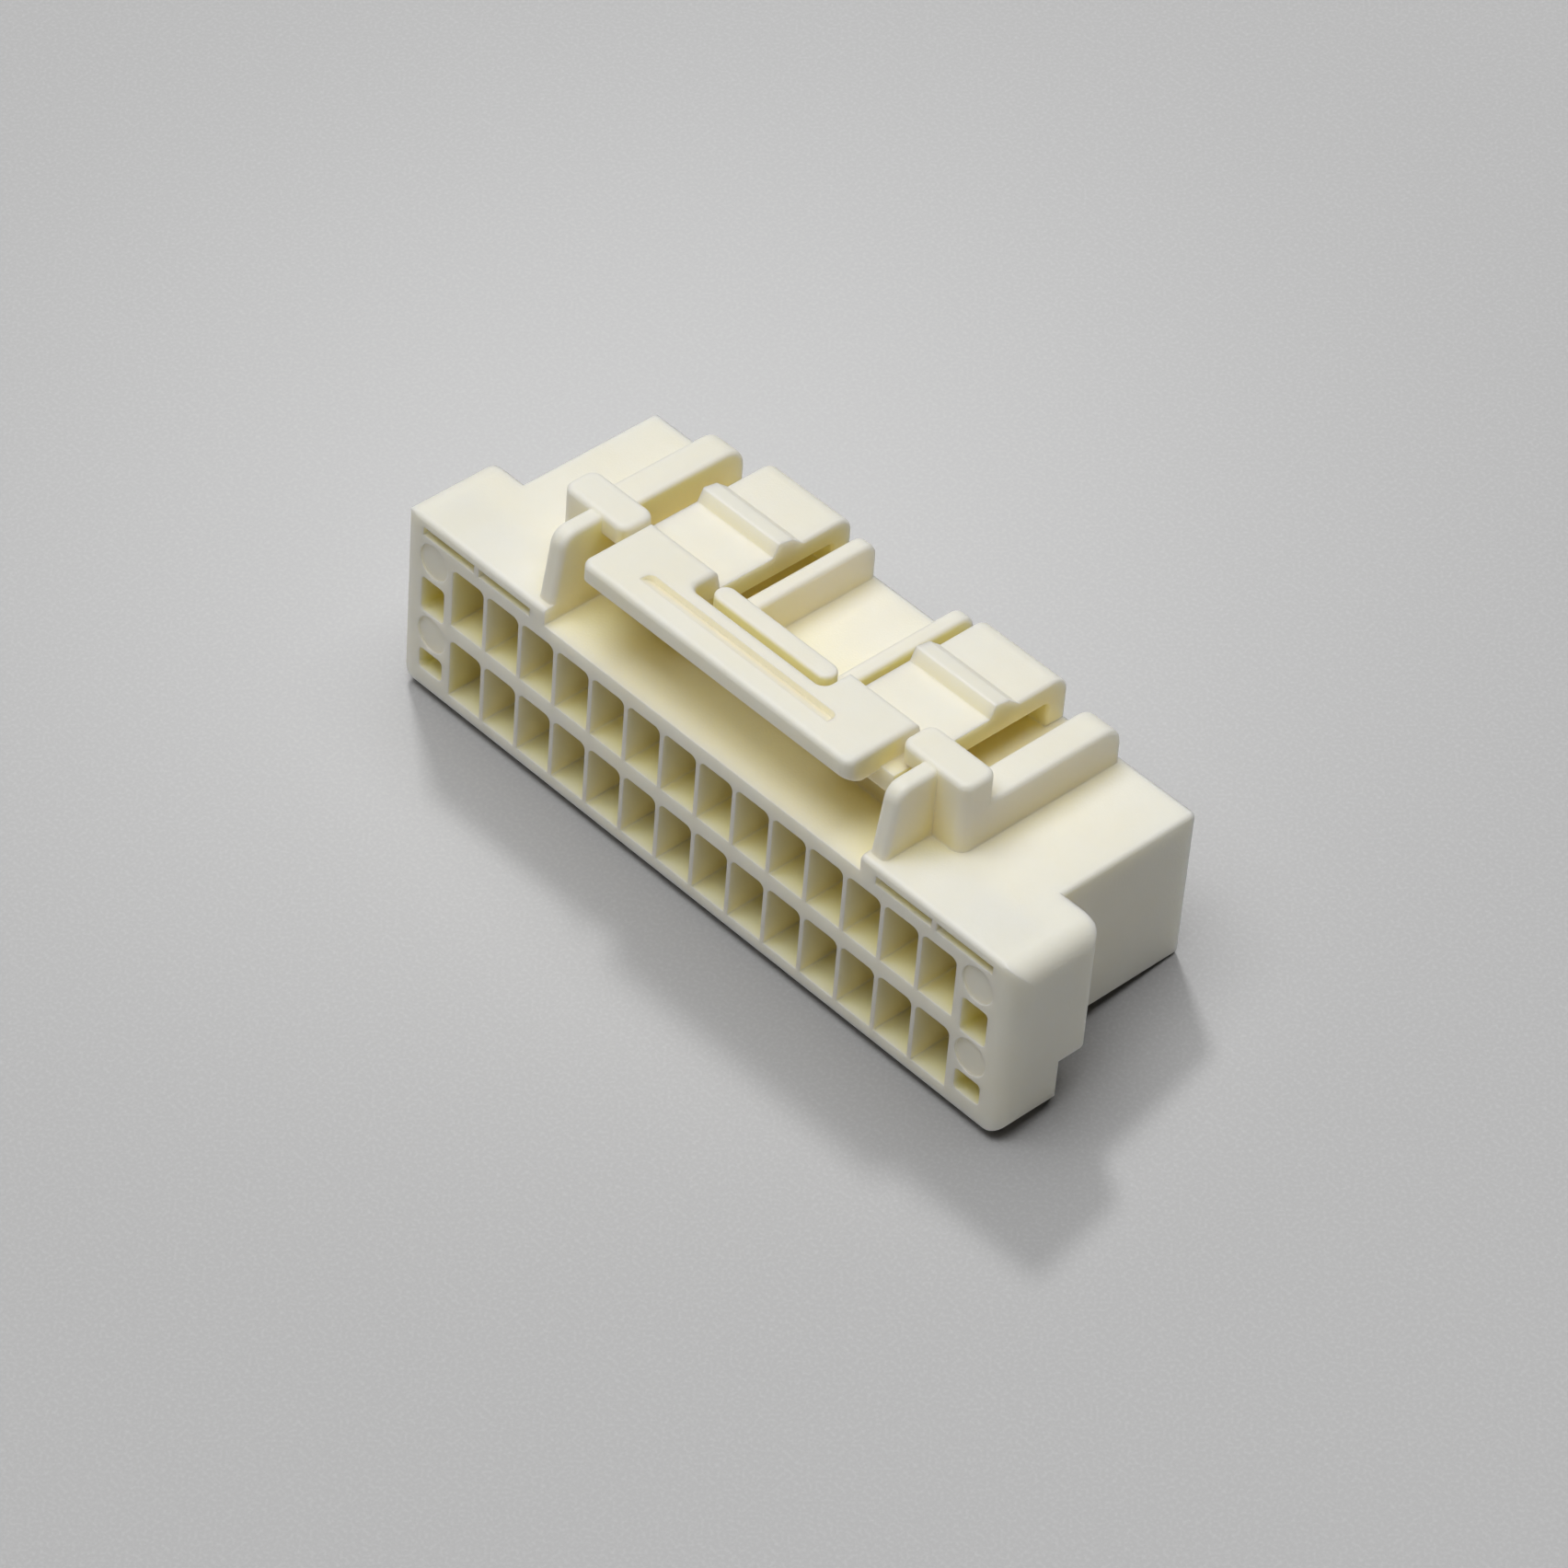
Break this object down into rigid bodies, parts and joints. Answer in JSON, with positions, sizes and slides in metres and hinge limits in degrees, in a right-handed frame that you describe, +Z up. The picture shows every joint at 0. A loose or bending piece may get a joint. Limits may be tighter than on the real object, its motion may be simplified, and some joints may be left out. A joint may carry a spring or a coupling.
{
  "type": "wire-to-board connector housing",
  "caption": "Empty crimp connector housing with rows of wire cavities in a wide flange, moulded latch with thumb pad, guard rails and fins on top.",
  "frame": {"origin": "middle of the footprint, on the level of the flange's lowest face", "axes": "+X along the rows of cavities, +Y from the wire face to the mating face, +Z up to the latch"},
  "size_m": [0.034, 0.011, 0.0116],
  "materials": {
    "moulded_nylon": "natural ivory nylon, lightly textured as moulded"
  },
  "bodies": {
    "root": {"housing": "moulded_nylon"}
  },
  "joints": []
}
